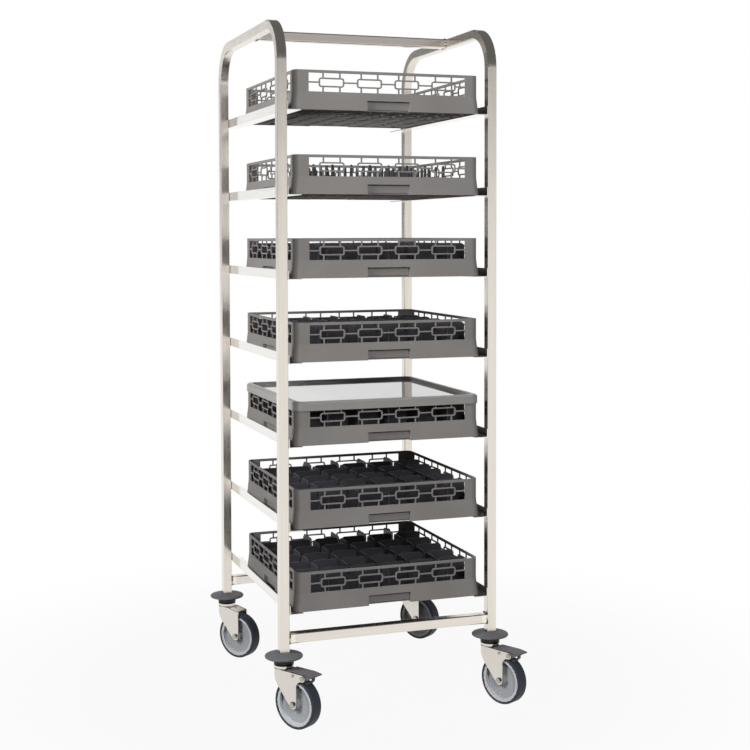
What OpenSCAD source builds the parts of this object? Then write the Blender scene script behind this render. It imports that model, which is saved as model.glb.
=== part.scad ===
// Glass rack dolly: a welded stainless tube trolley on four swivel castors, carrying a column of glass racks.
// Millimetres. The origin is on the floor under the middle of the frame, +Z is up, and the racks are drawn
// out towards -Y. Racks and runners are numbered from the top.

/* [Racks] */
// Width and depth of a rack at its base
rack_w = 500; // [460:1:540]
// Height of a rack
rack_h = 98; // [90:1:115]
// Height of the closed lower band
band_h = 45; // [40:1:52]
// How far each side leans out from the top of the band to the base
band_flare = 4.5; // [1:0.1:8]
// Thickness of the walls
rack_wall = 3; // [2:0.1:4]
// Radius of the corners at the base
rack_corner_r = 18; // [12:1:26]
// Width of the closed column at each end of a window
column_w = 37; // [32:1:48]
// Height of the rail over the windows
rail_h = 7; // [5:0.5:10]
// Thickness of the floor grid
floor_t = 6; // [4:0.5:9]
// Open cells along one side of the floor grid
floor_cells = 9; // [7:1:11]
// Width of the floor ribs
floor_rib = 5; // [3:0.5:7]
// Width of the closed margin round the floor grid
floor_margin = 16; // [12:1:22]

/* [Window lattice] */
// Links in one window
link_count = 4; // [3:1:4]
// Length of a link
link_w = 66; // [52:1:74]
// Height of a link
link_h = 23.5; // [18:0.5:28]
// Corner radius of a link
link_r = 6; // [4.6:0.2:8]
// Distance from link to link
link_pitch = 99.5; // [90:0.5:102]
// Width of the lattice strands
strand = 3.6; // [2.4:0.1:4.4]
// Distance between the two ties above or below a link
tie_gap = 43.6; // [32:0.2:50]

/* [Hand recess] */
// Width of the hand recess in the middle of each side
handle_w = 113; // [90:1:130]
// Height of the hand recess above the base
handle_h = 25; // [18:0.5:30]
// Depth of the hand recess at the base
handle_in = 12; // [9:0.5:16]
// Height of the gap under the back of the recess
handle_lip = 4; // [2:0.5:5]

/* [Dividers and pegs] */
// Compartments along one side of a rack
compartments = 6; // [4:1:7]
// Thickness of a divider strip
divider_t = 2; // [1.4:0.1:3]
// Distance from the top of the dividers up to the rim of the rack
divider_drop = 13; // [6:0.5:24]
// Width of the notch where two strips cross
notch_w = 11; // [8:0.5:16]
// Depth of that notch
notch_d = 24; // [12:1:30]
// Radius of the panel shoulders
shoulder_r = 9; // [4:0.5:12]
// Height of a peg above the floor grid
peg_h = 72; // [50:1:78]
// Radius of a peg at its foot
peg_r = 5.5; // [4:0.1:7]
// Radius of a peg at its tip
peg_tip_r = 3.5; // [2.5:0.1:3.9]

/* [Lid] */
// How far the skirt of the lid reaches down over the rack
lid_skirt = 12; // [8:0.5:16]
// Height of the lid's rim above the rack
lid_rise = 11; // [8:0.5:16]
// Thickness of the skirt
lid_wall = 3; // [2:0.1:4]
// Thickness of the sunk panel
lid_panel_t = 3; // [2:0.1:4]
// Width of the rim round the sunk panel
lid_rim_w = 13; // [9:0.5:18]
// Height and width of the bevel along the top of the rim
lid_bevel = 4; // [2:0.5:5]

/* [Frame] */
// Outside size of the square tube
tube = 25; // [22:0.5:30]
// Wall of the tube
tube_wall = 1.5; // [1:0.1:2]
// Outside corner radius of the tube
tube_r = 3; // [2.2:0.1:4]
// Outside radius of the bends at the top
bend_r = 110; // [70:1:140]
// Depth of the frame over the posts
frame_d = 630; // [590:1:700]
// Space between a rack and the posts on each side
rack_gap = 17; // [12:0.5:24]
// Distance from the front of the posts back to the front of a rack
rack_setback = 8; // [4:0.5:24]
// Number of tiers
tiers = 7; // [5:1:7]
// Distance from tier to tier
tier_pitch = 207.5; // [180:0.5:230]
// Space between the highest rack and the top of the frame
head_room = 131; // [100:1:180]
// Place of the top crossbar, front to back
top_bar_y = -20; // [-120:1:120]
// Space between a bumper disc and the bottom crossbars
bar_rise = 21.5; // [10:0.5:40]
// Space between the bottom crossbars and the lowest rack
rack_rise = 49; // [40:1:80]

/* [Runners] */
// Height of the upright flange
runner_h = 23; // [16:0.5:32]
// How far the ledge reaches in under a rack
runner_reach = 19; // [12:0.5:26]
// Thickness of the runner sheet
runner_t = 2; // [1.5:0.1:3]

/* [Castors] */
// Diameter of a wheel
wheel_d = 125; // [110:1:140]
// Width of a tyre
tyre_w = 31; // [28:0.5:36]
// Thickness of the tyre over the wheel centre
tyre_t = 6.5; // [5:0.5:9]
// Distance from the swivel axis to the axle
trail = 46; // [42:0.5:50]
// Direction in which each wheel trails, from +X: front left, front right, rear left, rear right
castor_turns = [-57, -63, -53, -57]; // [-180:1:180]
// Height of the fork crown above the axle
fork_rise = 79; // [76:0.5:88]
// Thickness of the fork sheet
fork_t = 3; // [2:0.1:3.5]
// Space between a tyre and each fork leg
fork_gap = 2.5; // [2:0.1:4]
// Radius of the axle
axle_r = 4; // [3.5:0.1:5]
// Outside radius of the swivel cup
cup_r = 25; // [24:0.5:28]
// Height of the swivel cup
cup_h = 11.5; // [10:0.5:16]
// Diameter of a bumper disc
bumper_d = 95; // [80:1:120]
// Thickness of a bumper disc at its middle
bumper_h = 20; // [15:0.5:26]

/* [Brake] */
// Distance from the swivel axis to the pedal's pin
pin_x = 76; // [74:0.5:80]
// Distance from the fork crown down to the pedal's pin
pin_drop = 9; // [8.6:0.2:11]
// Radius of the pedal's pin
pin_r = 4; // [3:0.1:5]
// Angle that the pedal turns from free to pressed
brake_throw = 12; // [6:1:16]
// Distance from the swivel axis to the tip of the pedal
pedal_reach = 102; // [98:0.5:112]
// Width of the pedal at its tip
pedal_tip_w = 40; // [32:0.5:41]

/* [Hidden] */
$fn = 48;
over = 1;
// Clearances: resting pieces, sheet joints and running fits
rest_gap = 0.3;
seat_gap = 0.1;
run_gap = 0.05;
corner_steps = 5;
link_steps = 3;
shoulder_steps = 2;
lens_facets = 360;

// Rack
rack_top_w = rack_w - 2 * band_flare;
rack_taper = rack_top_w / rack_w;
rack_in_w = rack_top_w - 2 * rack_wall;
rack_in_r = rack_corner_r * rack_taper - rack_wall;
window_w = rack_top_w - 2 * column_w;
window_h = rack_h - rail_h - band_h;
floor_w = rack_in_w - 2 * floor_margin;
floor_pitch = floor_w / floor_cells;
cell_w = floor_pitch - floor_rib;
tie_h = (window_h - link_h) / 2 + strand / 2;
recess_half = handle_w / 2;
recess_back = rack_w / 2 - handle_in;

// Dividers
divider_z = rack_h - divider_drop;
divider_l = rack_in_w - 2 * rest_gap;
divider_pitch = rack_in_w / compartments;
divider_at = [for (i = [1:compartments - 1]) (i - compartments / 2) * divider_pitch];
notch_z = divider_z - notch_d;
lap_z = (floor_t + notch_z) / 2;
lap_w = divider_t + 2 * seat_gap;
relief_w = handle_in + rack_wall;
relief_h = handle_h + 2 * rack_wall - floor_t;

// Lid, measured from the base of its rack
lid_in_w = rack_top_w + 2 * rest_gap;
lid_out_w = lid_in_w + 2 * lid_wall;
lid_corner_r = rack_corner_r + lid_wall;
lid_seat = rack_h + rest_gap;
lid_top = rack_h + lid_rise;
lid_sunk_w = lid_out_w - 2 * lid_rim_w;
lid_sunk_taper = (lid_sunk_w - 2 * lid_bevel) / lid_sunk_w;

// Castors, from the floor up
axle_z = wheel_d / 2;
crown_z = axle_z + fork_rise;
cup_gap = 2;
cup_z = crown_z + cup_gap;
neck_z = cup_z + cup_h;
neck_h = 6;
lens_z = neck_z + neck_h;
bumper_top = lens_z + bumper_h;
post_z = bumper_top - bumper_h / 2;
rim_r = 3;
lens_rise = bumper_h / 2;
lens_dome = lens_rise - rim_r;
lens_r = bumper_d / 2 - rim_r;
lens_sphere_r = (lens_r * lens_r + lens_dome * lens_dome) / (2 * lens_dome);
plug_r = tube / 2 - tube_wall - seat_gap;
plug_h = 2 * tube;
king_r = 6;
king_head_r = 9.5;
king_head_h = 3.5;
race_r = cup_r - fork_t - rest_gap;
cup_roof = 3;
fork_in = tyre_w / 2 + fork_gap;
fork_out = fork_in + fork_t;
fork_nose = 4;
wheel_clear = 3;
leg_tip_r = 11;
leg_back_x = trail + leg_tip_r;
nut_h = 5;
nut_r = 7.5;
// Leading edge of a fork leg, as shares of its reach ahead of the swivel axis and of the fork's rise
lead_shares = [[-1, 0.94], [-0.78, 0.82], [-0.48, 0.68], [-0.09, 0.5]];
// Trailing top corner of a plain leg, as a share of the fork's rise
plain_top_share = 0.9;

// Wheel centre
rim_out_r = axle_z - tyre_t;
rim_lip = 7.5;
rim_inset = 1.5;
rim_half = tyre_w / 2 - rim_inset;
web_half = 4.5;
hub_r = 14;
hub_proud = 1;
hub_half = tyre_w / 2 + hub_proud;
shoulder = 3;

// Brake
arm_r = 8.5;
arch_gap = 2;
arch_r = pin_x - leg_back_x - arch_gap;
pin_z = crown_z - pin_drop;
pin_head_r = 6;
pin_head_h = 1.5;
stop_r = 3;
stop_x = trail;
stop_rise = 1.5;
stop_z = pin_z + stop_rise;
pedal_t = 2.5;
pedal_lift = 0.6;
pedal_z = crown_z + pedal_lift;
pedal_back_x = cup_r + cup_gap;
pedal_side_gap = 1;
cheek_half = fork_in - pedal_side_gap;
cheek_r = 8;
tip_drop = 2.5;
tip_corner = 9;
shoe_gap = 0.6;
shoe_in_r = axle_z + shoe_gap;
shoe_mid_r = shoe_in_r + pedal_t / 2;
// Directions from the axle in which the shoe starts, joins the cheeks and ends when the pedal is pressed
shoe_from = 66;
shoe_lug = 58;
shoe_to = 48;

// Frame
rack_z = bumper_top + bar_rise + tube + rack_rise;
bar_z = bumper_top + bar_rise;
frame_w = rack_w + 2 * (rack_gap + tube);
frame_h = rack_z + (tiers - 1) * tier_pitch + rack_h + head_room;
post_x = frame_w / 2 - tube / 2;
post_y = frame_d / 2 - tube / 2;
inside_w = frame_w - 2 * tube;
rack_y = -frame_d / 2 + rack_setback + rack_w / 2;
lid_tier = tiers - 2;
peg_tier = 2;

SIDES = ["left", "right"];
SIDE_X = [-1, 1];
CASTORS = ["front_left", "front_right", "rear_left", "rear_right"];
CASTOR_XY = [[-1, -1], [1, -1], [-1, 1], [1, 1]];
CASTOR_PARTS = ["bumper", "swivel_head", "fork", "axle", "wheel_centre", "tyre"];
BRAKED = [0, 1];
BRAKE_PARTS = ["brake_pedal", "brake_pins"];
DIVIDED = [for (i = [peg_tier + 1:tiers]) i];

NODES = concat(
    [for (s = SIDES) str(s, "_side_frame")],
    ["top_crossbar", "front_bottom_crossbar", "rear_bottom_crossbar"],
    [for (s = SIDES) for (i = [1:tiers]) str(s, "_runner_", i)],
    [for (c = CASTORS) for (p = CASTOR_PARTS) str(c, "_", p)],
    [for (k = BRAKED) for (p = BRAKE_PARTS) str(CASTORS[k], "_", p)],
    [for (i = [1:tiers]) str("rack_", i)],
    [for (i = DIVIDED) str("divider_insert_", i)],
    ["rack_lid"]
);
node = "all";

function wanted(name) = node == "all" || node == name;
function tier_z(i) = rack_z + (tiers - i) * tier_pitch;
function corner_arc(x, y, r, start, steps) =
    [for (k = [0:steps]) [x + r * cos(start + 90 * k / steps), y + r * sin(start + 90 * k / steps)]];
function round_rect(w, d, r, steps) = concat(
    corner_arc(w / 2 - r, d / 2 - r, r, 0, steps),
    corner_arc(r - w / 2, d / 2 - r, r, 90, steps),
    corner_arc(r - w / 2, r - d / 2, r, 180, steps),
    corner_arc(w / 2 - r, r - d / 2, r, 270, steps)
);

// Frame

module tube_section(size, r) {
    square([size, size - 2 * r], center = true);
    square([size - 2 * r, size], center = true);
    for (x = [-1, 1])
        for (y = [-1, 1])
            translate([x * (size / 2 - r), y * (size / 2 - r)]) circle(r);
}

// A hoop of one bent bar: front post, bend, top run, bend, rear post
module hoop(size, r, foot_z) {
    bend = bend_r - tube / 2;
    run = frame_d - 2 * bend_r;
    post = frame_h - bend_r - foot_z;
    for (s = [-1, 1]) {
        translate([0, s * post_y, foot_z]) linear_extrude(post) tube_section(size, r);
        translate([0, s * run / 2, frame_h - bend_r])
            rotate([90, 0, s * 90])
                rotate_extrude(angle = 90) translate([bend, 0]) tube_section(size, r);
    }
    translate([0, run / 2, frame_h - tube / 2]) rotate([90, 0, 0]) linear_extrude(run) tube_section(size, r);
}

module side_frame(side) {
    color("silver")
        translate([side * post_x, 0, 0])
            difference() {
                hoop(tube, tube_r, post_z);
                hoop(tube - 2 * tube_wall, tube_r - tube_wall, post_z - over);
            }
}

module crossbar(y, z) {
    color("silver")
        translate([-inside_w / 2, y, z])
            rotate([90, 0, 90])
                linear_extrude(inside_w)
                    difference() {
                        tube_section(tube, tube_r);
                        tube_section(tube - 2 * tube_wall, tube_r - tube_wall);
                    }
}

module runner(side, i) {
    ledge = rack_gap + runner_reach;
    z = tier_z(i) - rest_gap - runner_t;
    color("gainsboro")
        translate([side * inside_w / 2, frame_d / 2, z])
            rotate([90, 0, 0])
                linear_extrude(frame_d)
                    scale([-side, 1]) {
                        square([runner_t, runner_h]);
                        square([ledge, runner_t]);
                    }
}

// Racks

module window_lattice() {
    for (i = [0:link_count - 1])
        translate([(i - (link_count - 1) / 2) * link_pitch, 0]) {
            difference() {
                polygon(round_rect(link_w, link_h, link_r, link_steps));
                polygon(round_rect(link_w - 2 * strand, link_h - 2 * strand, link_r - strand, link_steps));
            }
            for (x = [-1, 1])
                for (y = [-1, 1])
                    translate([x * tie_gap / 2 - strand / 2, y * (window_h / 2 - tie_h / 2) - tie_h / 2])
                        square([strand, tie_h]);
        }
    difference() {
        square([window_w, strand], center = true);
        for (i = [0:link_count - 1])
            translate([(i - (link_count - 1) / 2) * link_pitch, 0])
                square([link_w - strand, link_h], center = true);
    }
}

module window_gaps() {
    difference() {
        square([window_w, window_h], center = true);
        window_lattice();
    }
}

module each_side() {
    for (a = [0:90:270])
        rotate([0, 0, a]) children();
}

module rack_shell() {
    difference() {
        union() {
            linear_extrude(band_h, scale = rack_taper)
                polygon(round_rect(rack_w, rack_w, rack_corner_r, corner_steps));
            translate([0, 0, band_h])
                linear_extrude(rack_h - band_h)
                    polygon(round_rect(rack_top_w, rack_top_w, rack_corner_r * rack_taper, corner_steps));
        }
        translate([0, 0, floor_t])
            linear_extrude(rack_h)
                polygon(round_rect(rack_in_w, rack_in_w, rack_in_r, corner_steps));
    }
}

module recess_pocket() {
    wide = handle_w + 2 * rack_wall;
    translate([-wide / 2, -rack_in_w / 2 - rack_wall / 2, 0])
        cube([wide, rack_in_w / 2 + rack_wall / 2 - recess_back + rack_wall, handle_h + rack_wall]);
}

module recess_cut() {
    translate([-recess_half, -rack_w / 2 - over, -over])
        cube([handle_w, handle_in + over, handle_h + over]);
    translate([-recess_half, -rack_w / 2 - over, -over])
        cube([handle_w, handle_in + rack_wall + over, handle_lip + over]);
}

module floor_cuts() {
    translate([0, 0, -over])
        linear_extrude(floor_t + 2 * over)
            for (i = [0:floor_cells - 1])
                for (j = [0:floor_cells - 1])
                    translate([i - (floor_cells - 1) / 2, j - (floor_cells - 1) / 2] * floor_pitch)
                        square(cell_w, center = true);
}

module rack_body() {
    difference() {
        union() {
            rack_shell();
            each_side() recess_pocket();
        }
        floor_cuts();
        each_side() recess_cut();
        each_side()
            translate([0, -rack_in_w / 2 + over, band_h + window_h / 2])
                rotate([90, 0, 0])
                    linear_extrude(rack_wall + 2 * over) window_gaps();
    }
}

module pegs() {
    for (i = [1:floor_cells - 1])
        for (j = [1:floor_cells - 1])
            translate([(i - floor_cells / 2) * floor_pitch, (j - floor_cells / 2) * floor_pitch, 0]) {
                cylinder(h = floor_t + peg_h - peg_tip_r, r1 = peg_r, r2 = peg_tip_r, $fn = 24);
                translate([0, 0, floor_t + peg_h - peg_tip_r]) sphere(peg_tip_r, $fn = 24);
            }
}

module rack(i) {
    color("dimgray")
        translate([0, rack_y, tier_z(i)]) {
            rack_body();
            if (i == peg_tier) pegs();
        }
}

// Outline of one divider strip: panels with round shoulders, a notch at every crossing and half laps.
// The laps of strips across the rack open upwards, those of strips along it open downwards.
function panel_top(left, right) = concat(
    [[left, notch_z]],
    [for (k = [0:shoulder_steps]) let (a = 180 - 90 * k / shoulder_steps)
        [left + shoulder_r + shoulder_r * cos(a), divider_z - shoulder_r + shoulder_r * sin(a)]],
    [for (k = [0:shoulder_steps]) let (a = 90 - 90 * k / shoulder_steps)
        [right - shoulder_r + shoulder_r * cos(a), divider_z - shoulder_r + shoulder_r * sin(a)]],
    [[right, notch_z]]
);
function lap(x, foot, tip) =
    [[x - lap_w / 2, foot], [x - lap_w / 2, tip], [x + lap_w / 2, tip], [x + lap_w / 2, foot]];
function strip_outline(laps_up) = let (
        half = divider_l / 2,
        last = compartments - 1,
        crossings = divider_at,
        lefts = [for (i = [0:last]) i == 0 ? -half : crossings[i - 1] + notch_w / 2],
        rights = [for (i = [0:last]) i == last ? half : crossings[i] - notch_w / 2]
    ) concat(
        [[-half, floor_t + relief_h]],
        [for (i = [0:last]) each concat(
            panel_top(lefts[i], rights[i]),
            laps_up && i < last ? lap(crossings[i], notch_z, lap_z - seat_gap) : [])],
        [[half, floor_t + relief_h], [half - relief_w, floor_t + relief_h], [half - relief_w, floor_t]],
        laps_up ? [] : [for (i = [1:last]) each lap_down(crossings[last - i])],
        [[relief_w - half, floor_t], [relief_w - half, floor_t + relief_h]]
    );
function lap_down(x) = let (p = lap(x, floor_t, lap_z + seat_gap)) [p[3], p[2], p[1], p[0]];

module divider_strips(laps_up) {
    for (at = divider_at)
        translate([0, at + divider_t / 2, 0])
            rotate([90, 0, 0])
                linear_extrude(divider_t) polygon(strip_outline(laps_up));
}

module divider_insert(i) {
    color("darkslategray")
        translate([0, rack_y, tier_z(i) + seat_gap]) {
            divider_strips(true);
            rotate([0, 0, 90]) divider_strips(false);
        }
}

module rack_lid() {
    bevel_taper = (lid_out_w - 2 * lid_bevel) / lid_out_w;
    panel_z = lid_seat + lid_panel_t;
    color("gray")
        translate([0, rack_y, tier_z(lid_tier)])
            difference() {
                union() {
                    translate([0, 0, rack_h - lid_skirt])
                        linear_extrude(lid_skirt + lid_rise - lid_bevel)
                            polygon(round_rect(lid_out_w, lid_out_w, lid_corner_r, corner_steps));
                    translate([0, 0, lid_top - lid_bevel])
                        linear_extrude(lid_bevel, scale = bevel_taper)
                            polygon(round_rect(lid_out_w, lid_out_w, lid_corner_r, corner_steps));
                }
                translate([0, 0, rack_h - lid_skirt - over])
                    linear_extrude(lid_skirt + rest_gap + over)
                        polygon(round_rect(lid_in_w, lid_in_w, lid_corner_r - lid_wall, corner_steps));
                translate([0, 0, lid_top + over])
                    mirror([0, 0, 1])
                        linear_extrude(lid_top + over - panel_z, scale = lid_sunk_taper)
                            polygon(round_rect(lid_sunk_w, lid_sunk_w, lid_corner_r - lid_wall, corner_steps));
            }
}

// Castors, each in its own frame: the swivel axis is Z, the wheel trails along +X and the axle runs along Y

module at_castor(k, turned) {
    translate([CASTOR_XY[k][0] * post_x, CASTOR_XY[k][1] * post_y, 0])
        rotate([0, 0, turned ? castor_turns[k] : 0]) children();
}

module along_axle(half) {
    translate([0, half, 0]) rotate([90, 0, 0]) linear_extrude(2 * half) children();
}

module lens_profile() {
    intersection() {
        translate([0, lens_rise - lens_sphere_r]) circle(lens_sphere_r, $fn = lens_facets);
        translate([0, lens_sphere_r - lens_rise]) circle(lens_sphere_r, $fn = lens_facets);
        translate([0, -bumper_h]) square([lens_r, 2 * bumper_h]);
    }
    translate([lens_r, 0]) circle(rim_r);
}

module bumper() {
    pocket = tube + 2 * seat_gap;
    color("dimgray")
        difference() {
            union() {
                translate([0, 0, neck_z]) cylinder(h = neck_h + lens_rise, r = cup_r);
                translate([0, 0, lens_z + lens_rise]) rotate_extrude() lens_profile();
            }
            translate([-pocket / 2, -pocket / 2, post_z]) cube([pocket, pocket, bumper_h]);
            translate([0, 0, neck_z - over]) cylinder(h = bumper_h + neck_h, r = plug_r + seat_gap);
        }
}

module swivel_head() {
    roof_z = neck_z - cup_roof;
    king_z = crown_z - fork_t - rest_gap;
    color("silver") {
        difference() {
            translate([0, 0, cup_z]) cylinder(h = cup_h, r = cup_r);
            translate([0, 0, cup_z - over]) cylinder(h = roof_z - cup_z + over, r = cup_r - fork_t);
        }
        translate([0, 0, neck_z]) cylinder(h = post_z - neck_z + plug_h, r = plug_r);
        translate([0, 0, king_z]) cylinder(h = roof_z - king_z + over, r = king_r);
        translate([0, 0, king_z - king_head_h]) cylinder(h = king_head_h, r = king_head_r);
    }
}

// Side view of a fork leg. A braked leg has an arm for the pedal's pin behind an arched cut-out.
module leg_outline(braked) {
    arch_z = pin_z - arm_r - arch_r;
    lead = [for (s = lead_shares) [s[0] * (fork_out + fork_nose), axle_z + s[1] * fork_rise]];
    foot = lead[len(lead) - 1];
    slope = [trail - leg_tip_r, axle_z] - foot;
    heel = [trail, axle_z] + leg_tip_r / norm(slope) * [slope[1], -slope[0]];
    arm = [
        [leg_back_x, arch_z], [leg_back_x + arch_r, pin_z - arm_r],
        [pin_x, pin_z - arm_r], [pin_x, pin_z + arm_r]
    ];
    translate([trail, axle_z]) circle(leg_tip_r);
    if (braked) translate([pin_x, pin_z]) circle(arm_r);
    difference() {
        polygon(concat(
            lead,
            [heel, [trail, axle_z], [leg_back_x, axle_z]],
            braked ? arm : [[leg_back_x, axle_z + plain_top_share * fork_rise]],
            [[fork_out, crown_z], [-fork_out - fork_nose, crown_z]]
        ));
        if (braked) translate([leg_back_x + arch_r, arch_z]) circle(arch_r);
    }
}

module fork_plan(half) {
    translate([-fork_nose, 0]) circle(half);
    translate([-fork_nose, -half]) square([fork_nose + pedal_reach, 2 * half]);
}

module fork(braked) {
    race_h = neck_z - cup_roof - rest_gap - crown_z;
    color("lightgray")
        difference() {
            union() {
                intersection() {
                    along_axle(2 * fork_out) leg_outline(braked);
                    linear_extrude(crown_z) fork_plan(fork_out);
                }
                translate([0, 0, crown_z - fork_t]) cylinder(h = fork_t + race_h, r = race_r - seat_gap);
            }
            linear_extrude(crown_z - fork_t) fork_plan(fork_in);
            translate([fork_out, -fork_in, 0]) cube([pedal_reach, 2 * fork_in, crown_z + over]);
            translate([trail, 0, axle_z]) along_axle(fork_in) circle(axle_z + wheel_clear);
            translate([0, 0, axle_z]) cylinder(h = wheel_d, r = king_r + run_gap);
            translate([trail, 0, axle_z]) along_axle(2 * fork_out) circle(axle_r);
            if (braked) translate([pin_x, 0, pin_z]) along_axle(2 * fork_out) circle(pin_r);
            if (braked) translate([stop_x, 0, stop_z]) along_axle(2 * fork_out) circle(stop_r);
        }
}

module axle() {
    color("silver")
        translate([trail, 0, axle_z]) {
            along_axle(fork_out) circle(axle_r);
            for (s = [-1, 1])
                translate([0, s * (fork_out + nut_h / 2), 0]) along_axle(nut_h / 2) circle(nut_r, $fn = 6);
        }
}

module wheel_centre() {
    bore_r = axle_r + run_gap;
    color("lightsteelblue")
        translate([trail, 0, axle_z])
            rotate([90, 0, 0])
                rotate_extrude() {
                    translate([rim_out_r - rim_lip, -rim_half]) square([rim_lip, 2 * rim_half]);
                    translate([bore_r, -web_half]) square([rim_out_r - bore_r, 2 * web_half]);
                    translate([bore_r, -hub_half]) square([hub_r - bore_r, 2 * hub_half]);
                }
}

module tyre() {
    color("darkslategray")
        translate([trail, 0, axle_z])
            rotate([90, 0, 0])
                rotate_extrude() {
                    translate([rim_out_r, -tyre_w / 2]) square([tyre_t - shoulder, tyre_w]);
                    translate([rim_out_r, shoulder - tyre_w / 2]) square([tyre_t, tyre_w - 2 * shoulder]);
                    for (s = [-1, 1])
                        translate([axle_z - shoulder, s * (tyre_w / 2 - shoulder)]) circle(shoulder);
                }
}

// The pedal rocks on its pin between the fork legs. Its curved shoe meets the tyre when the pedal is down.
function lifted(angle, r) = let (
        x = trail + r * cos(angle) - pin_x,
        z = axle_z + r * sin(angle) - pin_z
    ) [pin_x, pin_z] + cos(brake_throw) * [x, z] + sin(brake_throw) * [-z, x];

module pedal_cheek() {
    translate([pin_x, pin_z]) circle(cheek_r);
    polygon([
        [pedal_back_x, pedal_z + pedal_t], [pedal_back_x, pedal_z], [pin_x - cheek_r, pin_z],
        lifted(shoe_from, shoe_mid_r), lifted(shoe_lug, shoe_mid_r),
        [pin_x + 2 * cheek_r, pedal_z], [pin_x + cheek_r, pedal_z + pedal_t]
    ]);
}

module pedal_plate() {
    polygon([
        [pedal_back_x, pedal_z], [pin_x + cheek_r, pedal_z], [pedal_reach, pedal_z - tip_drop],
        [pedal_reach, pedal_z + pedal_t - tip_drop], [pin_x + cheek_r, pedal_z + pedal_t],
        [pedal_back_x, pedal_z + pedal_t]
    ]);
}

module pedal_plan() {
    tip = pedal_tip_w / 2;
    polygon([
        [pedal_back_x, -tip], [pedal_reach - tip_corner, -tip], [pedal_reach, tip_corner - tip],
        [pedal_reach, tip - tip_corner], [pedal_reach - tip_corner, tip], [pedal_back_x, tip]
    ]);
}

module brake_shoe() {
    far = 2 * shoe_in_r;
    translate([pin_x, pin_z])
        rotate(brake_throw)
            translate([trail - pin_x, axle_z - pin_z])
                intersection() {
                    difference() {
                        circle(shoe_in_r + pedal_t);
                        circle(shoe_in_r);
                    }
                    polygon(far * [[0, 0], [cos(shoe_to), sin(shoe_to)], [cos(shoe_from), sin(shoe_from)]]);
                }
}

module brake_pedal() {
    color("dimgray")
        difference() {
            union() {
                intersection() {
                    along_axle(pedal_tip_w) pedal_plate();
                    linear_extrude(2 * crown_z) pedal_plan();
                }
                for (s = [-1, 1])
                    translate([0, s * (cheek_half - pedal_t / 2), 0]) along_axle(pedal_t / 2) pedal_cheek();
                along_axle(cheek_half) brake_shoe();
            }
            translate([pin_x, 0, pin_z]) along_axle(2 * fork_out) circle(pin_r + run_gap);
        }
}

// The pedal's pin, and the stop pin through the fork legs in front of it
module cross_pin(x, z, r, head_r) {
    translate([x, 0, z]) {
        along_axle(fork_out) circle(r);
        for (s = [-1, 1])
            translate([0, s * (fork_out + pin_head_h / 2), 0]) along_axle(pin_head_h / 2) circle(head_r);
    }
}

module brake_pins() {
    color("silver") {
        cross_pin(pin_x, pin_z, pin_r, pin_head_r);
        cross_pin(stop_x, stop_z, stop_r, pin_r);
    }
}

for (s = [0, 1]) if (wanted(str(SIDES[s], "_side_frame"))) side_frame(SIDE_X[s]);
if (wanted("top_crossbar")) crossbar(top_bar_y, frame_h - tube / 2);
if (wanted("front_bottom_crossbar")) crossbar(-post_y, bar_z + tube / 2);
if (wanted("rear_bottom_crossbar")) crossbar(post_y, bar_z + tube / 2);
for (s = [0, 1]) for (i = [1:tiers]) if (wanted(str(SIDES[s], "_runner_", i))) runner(SIDE_X[s], i);
for (k = [0:3]) if (wanted(str(CASTORS[k], "_bumper"))) at_castor(k, false) bumper();
for (k = [0:3]) if (wanted(str(CASTORS[k], "_swivel_head"))) at_castor(k, false) swivel_head();
for (k = [0:3]) if (wanted(str(CASTORS[k], "_fork"))) at_castor(k, true) fork(k < len(BRAKED));
for (k = [0:3]) if (wanted(str(CASTORS[k], "_axle"))) at_castor(k, true) axle();
for (k = [0:3]) if (wanted(str(CASTORS[k], "_wheel_centre"))) at_castor(k, true) wheel_centre();
for (k = [0:3]) if (wanted(str(CASTORS[k], "_tyre"))) at_castor(k, true) tyre();
for (k = BRAKED) if (wanted(str(CASTORS[k], "_brake_pedal"))) at_castor(k, true) brake_pedal();
for (k = BRAKED) if (wanted(str(CASTORS[k], "_brake_pins"))) at_castor(k, true) brake_pins();
for (i = [1:tiers]) if (wanted(str("rack_", i))) rack(i);
for (i = DIVIDED) if (wanted(str("divider_insert_", i))) divider_insert(i);
if (wanted("rack_lid")) rack_lid();
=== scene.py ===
"""Finishes, welds, brake pedals and studio for the glass rack dolly, set around its solids.

Metres, with +Z up. The racks are drawn out to -Y.
"""

import math

import bmesh
import bpy
from bpy.props import FloatProperty, FloatVectorProperty, PointerProperty
from mathutils import Matrix, Vector


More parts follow.
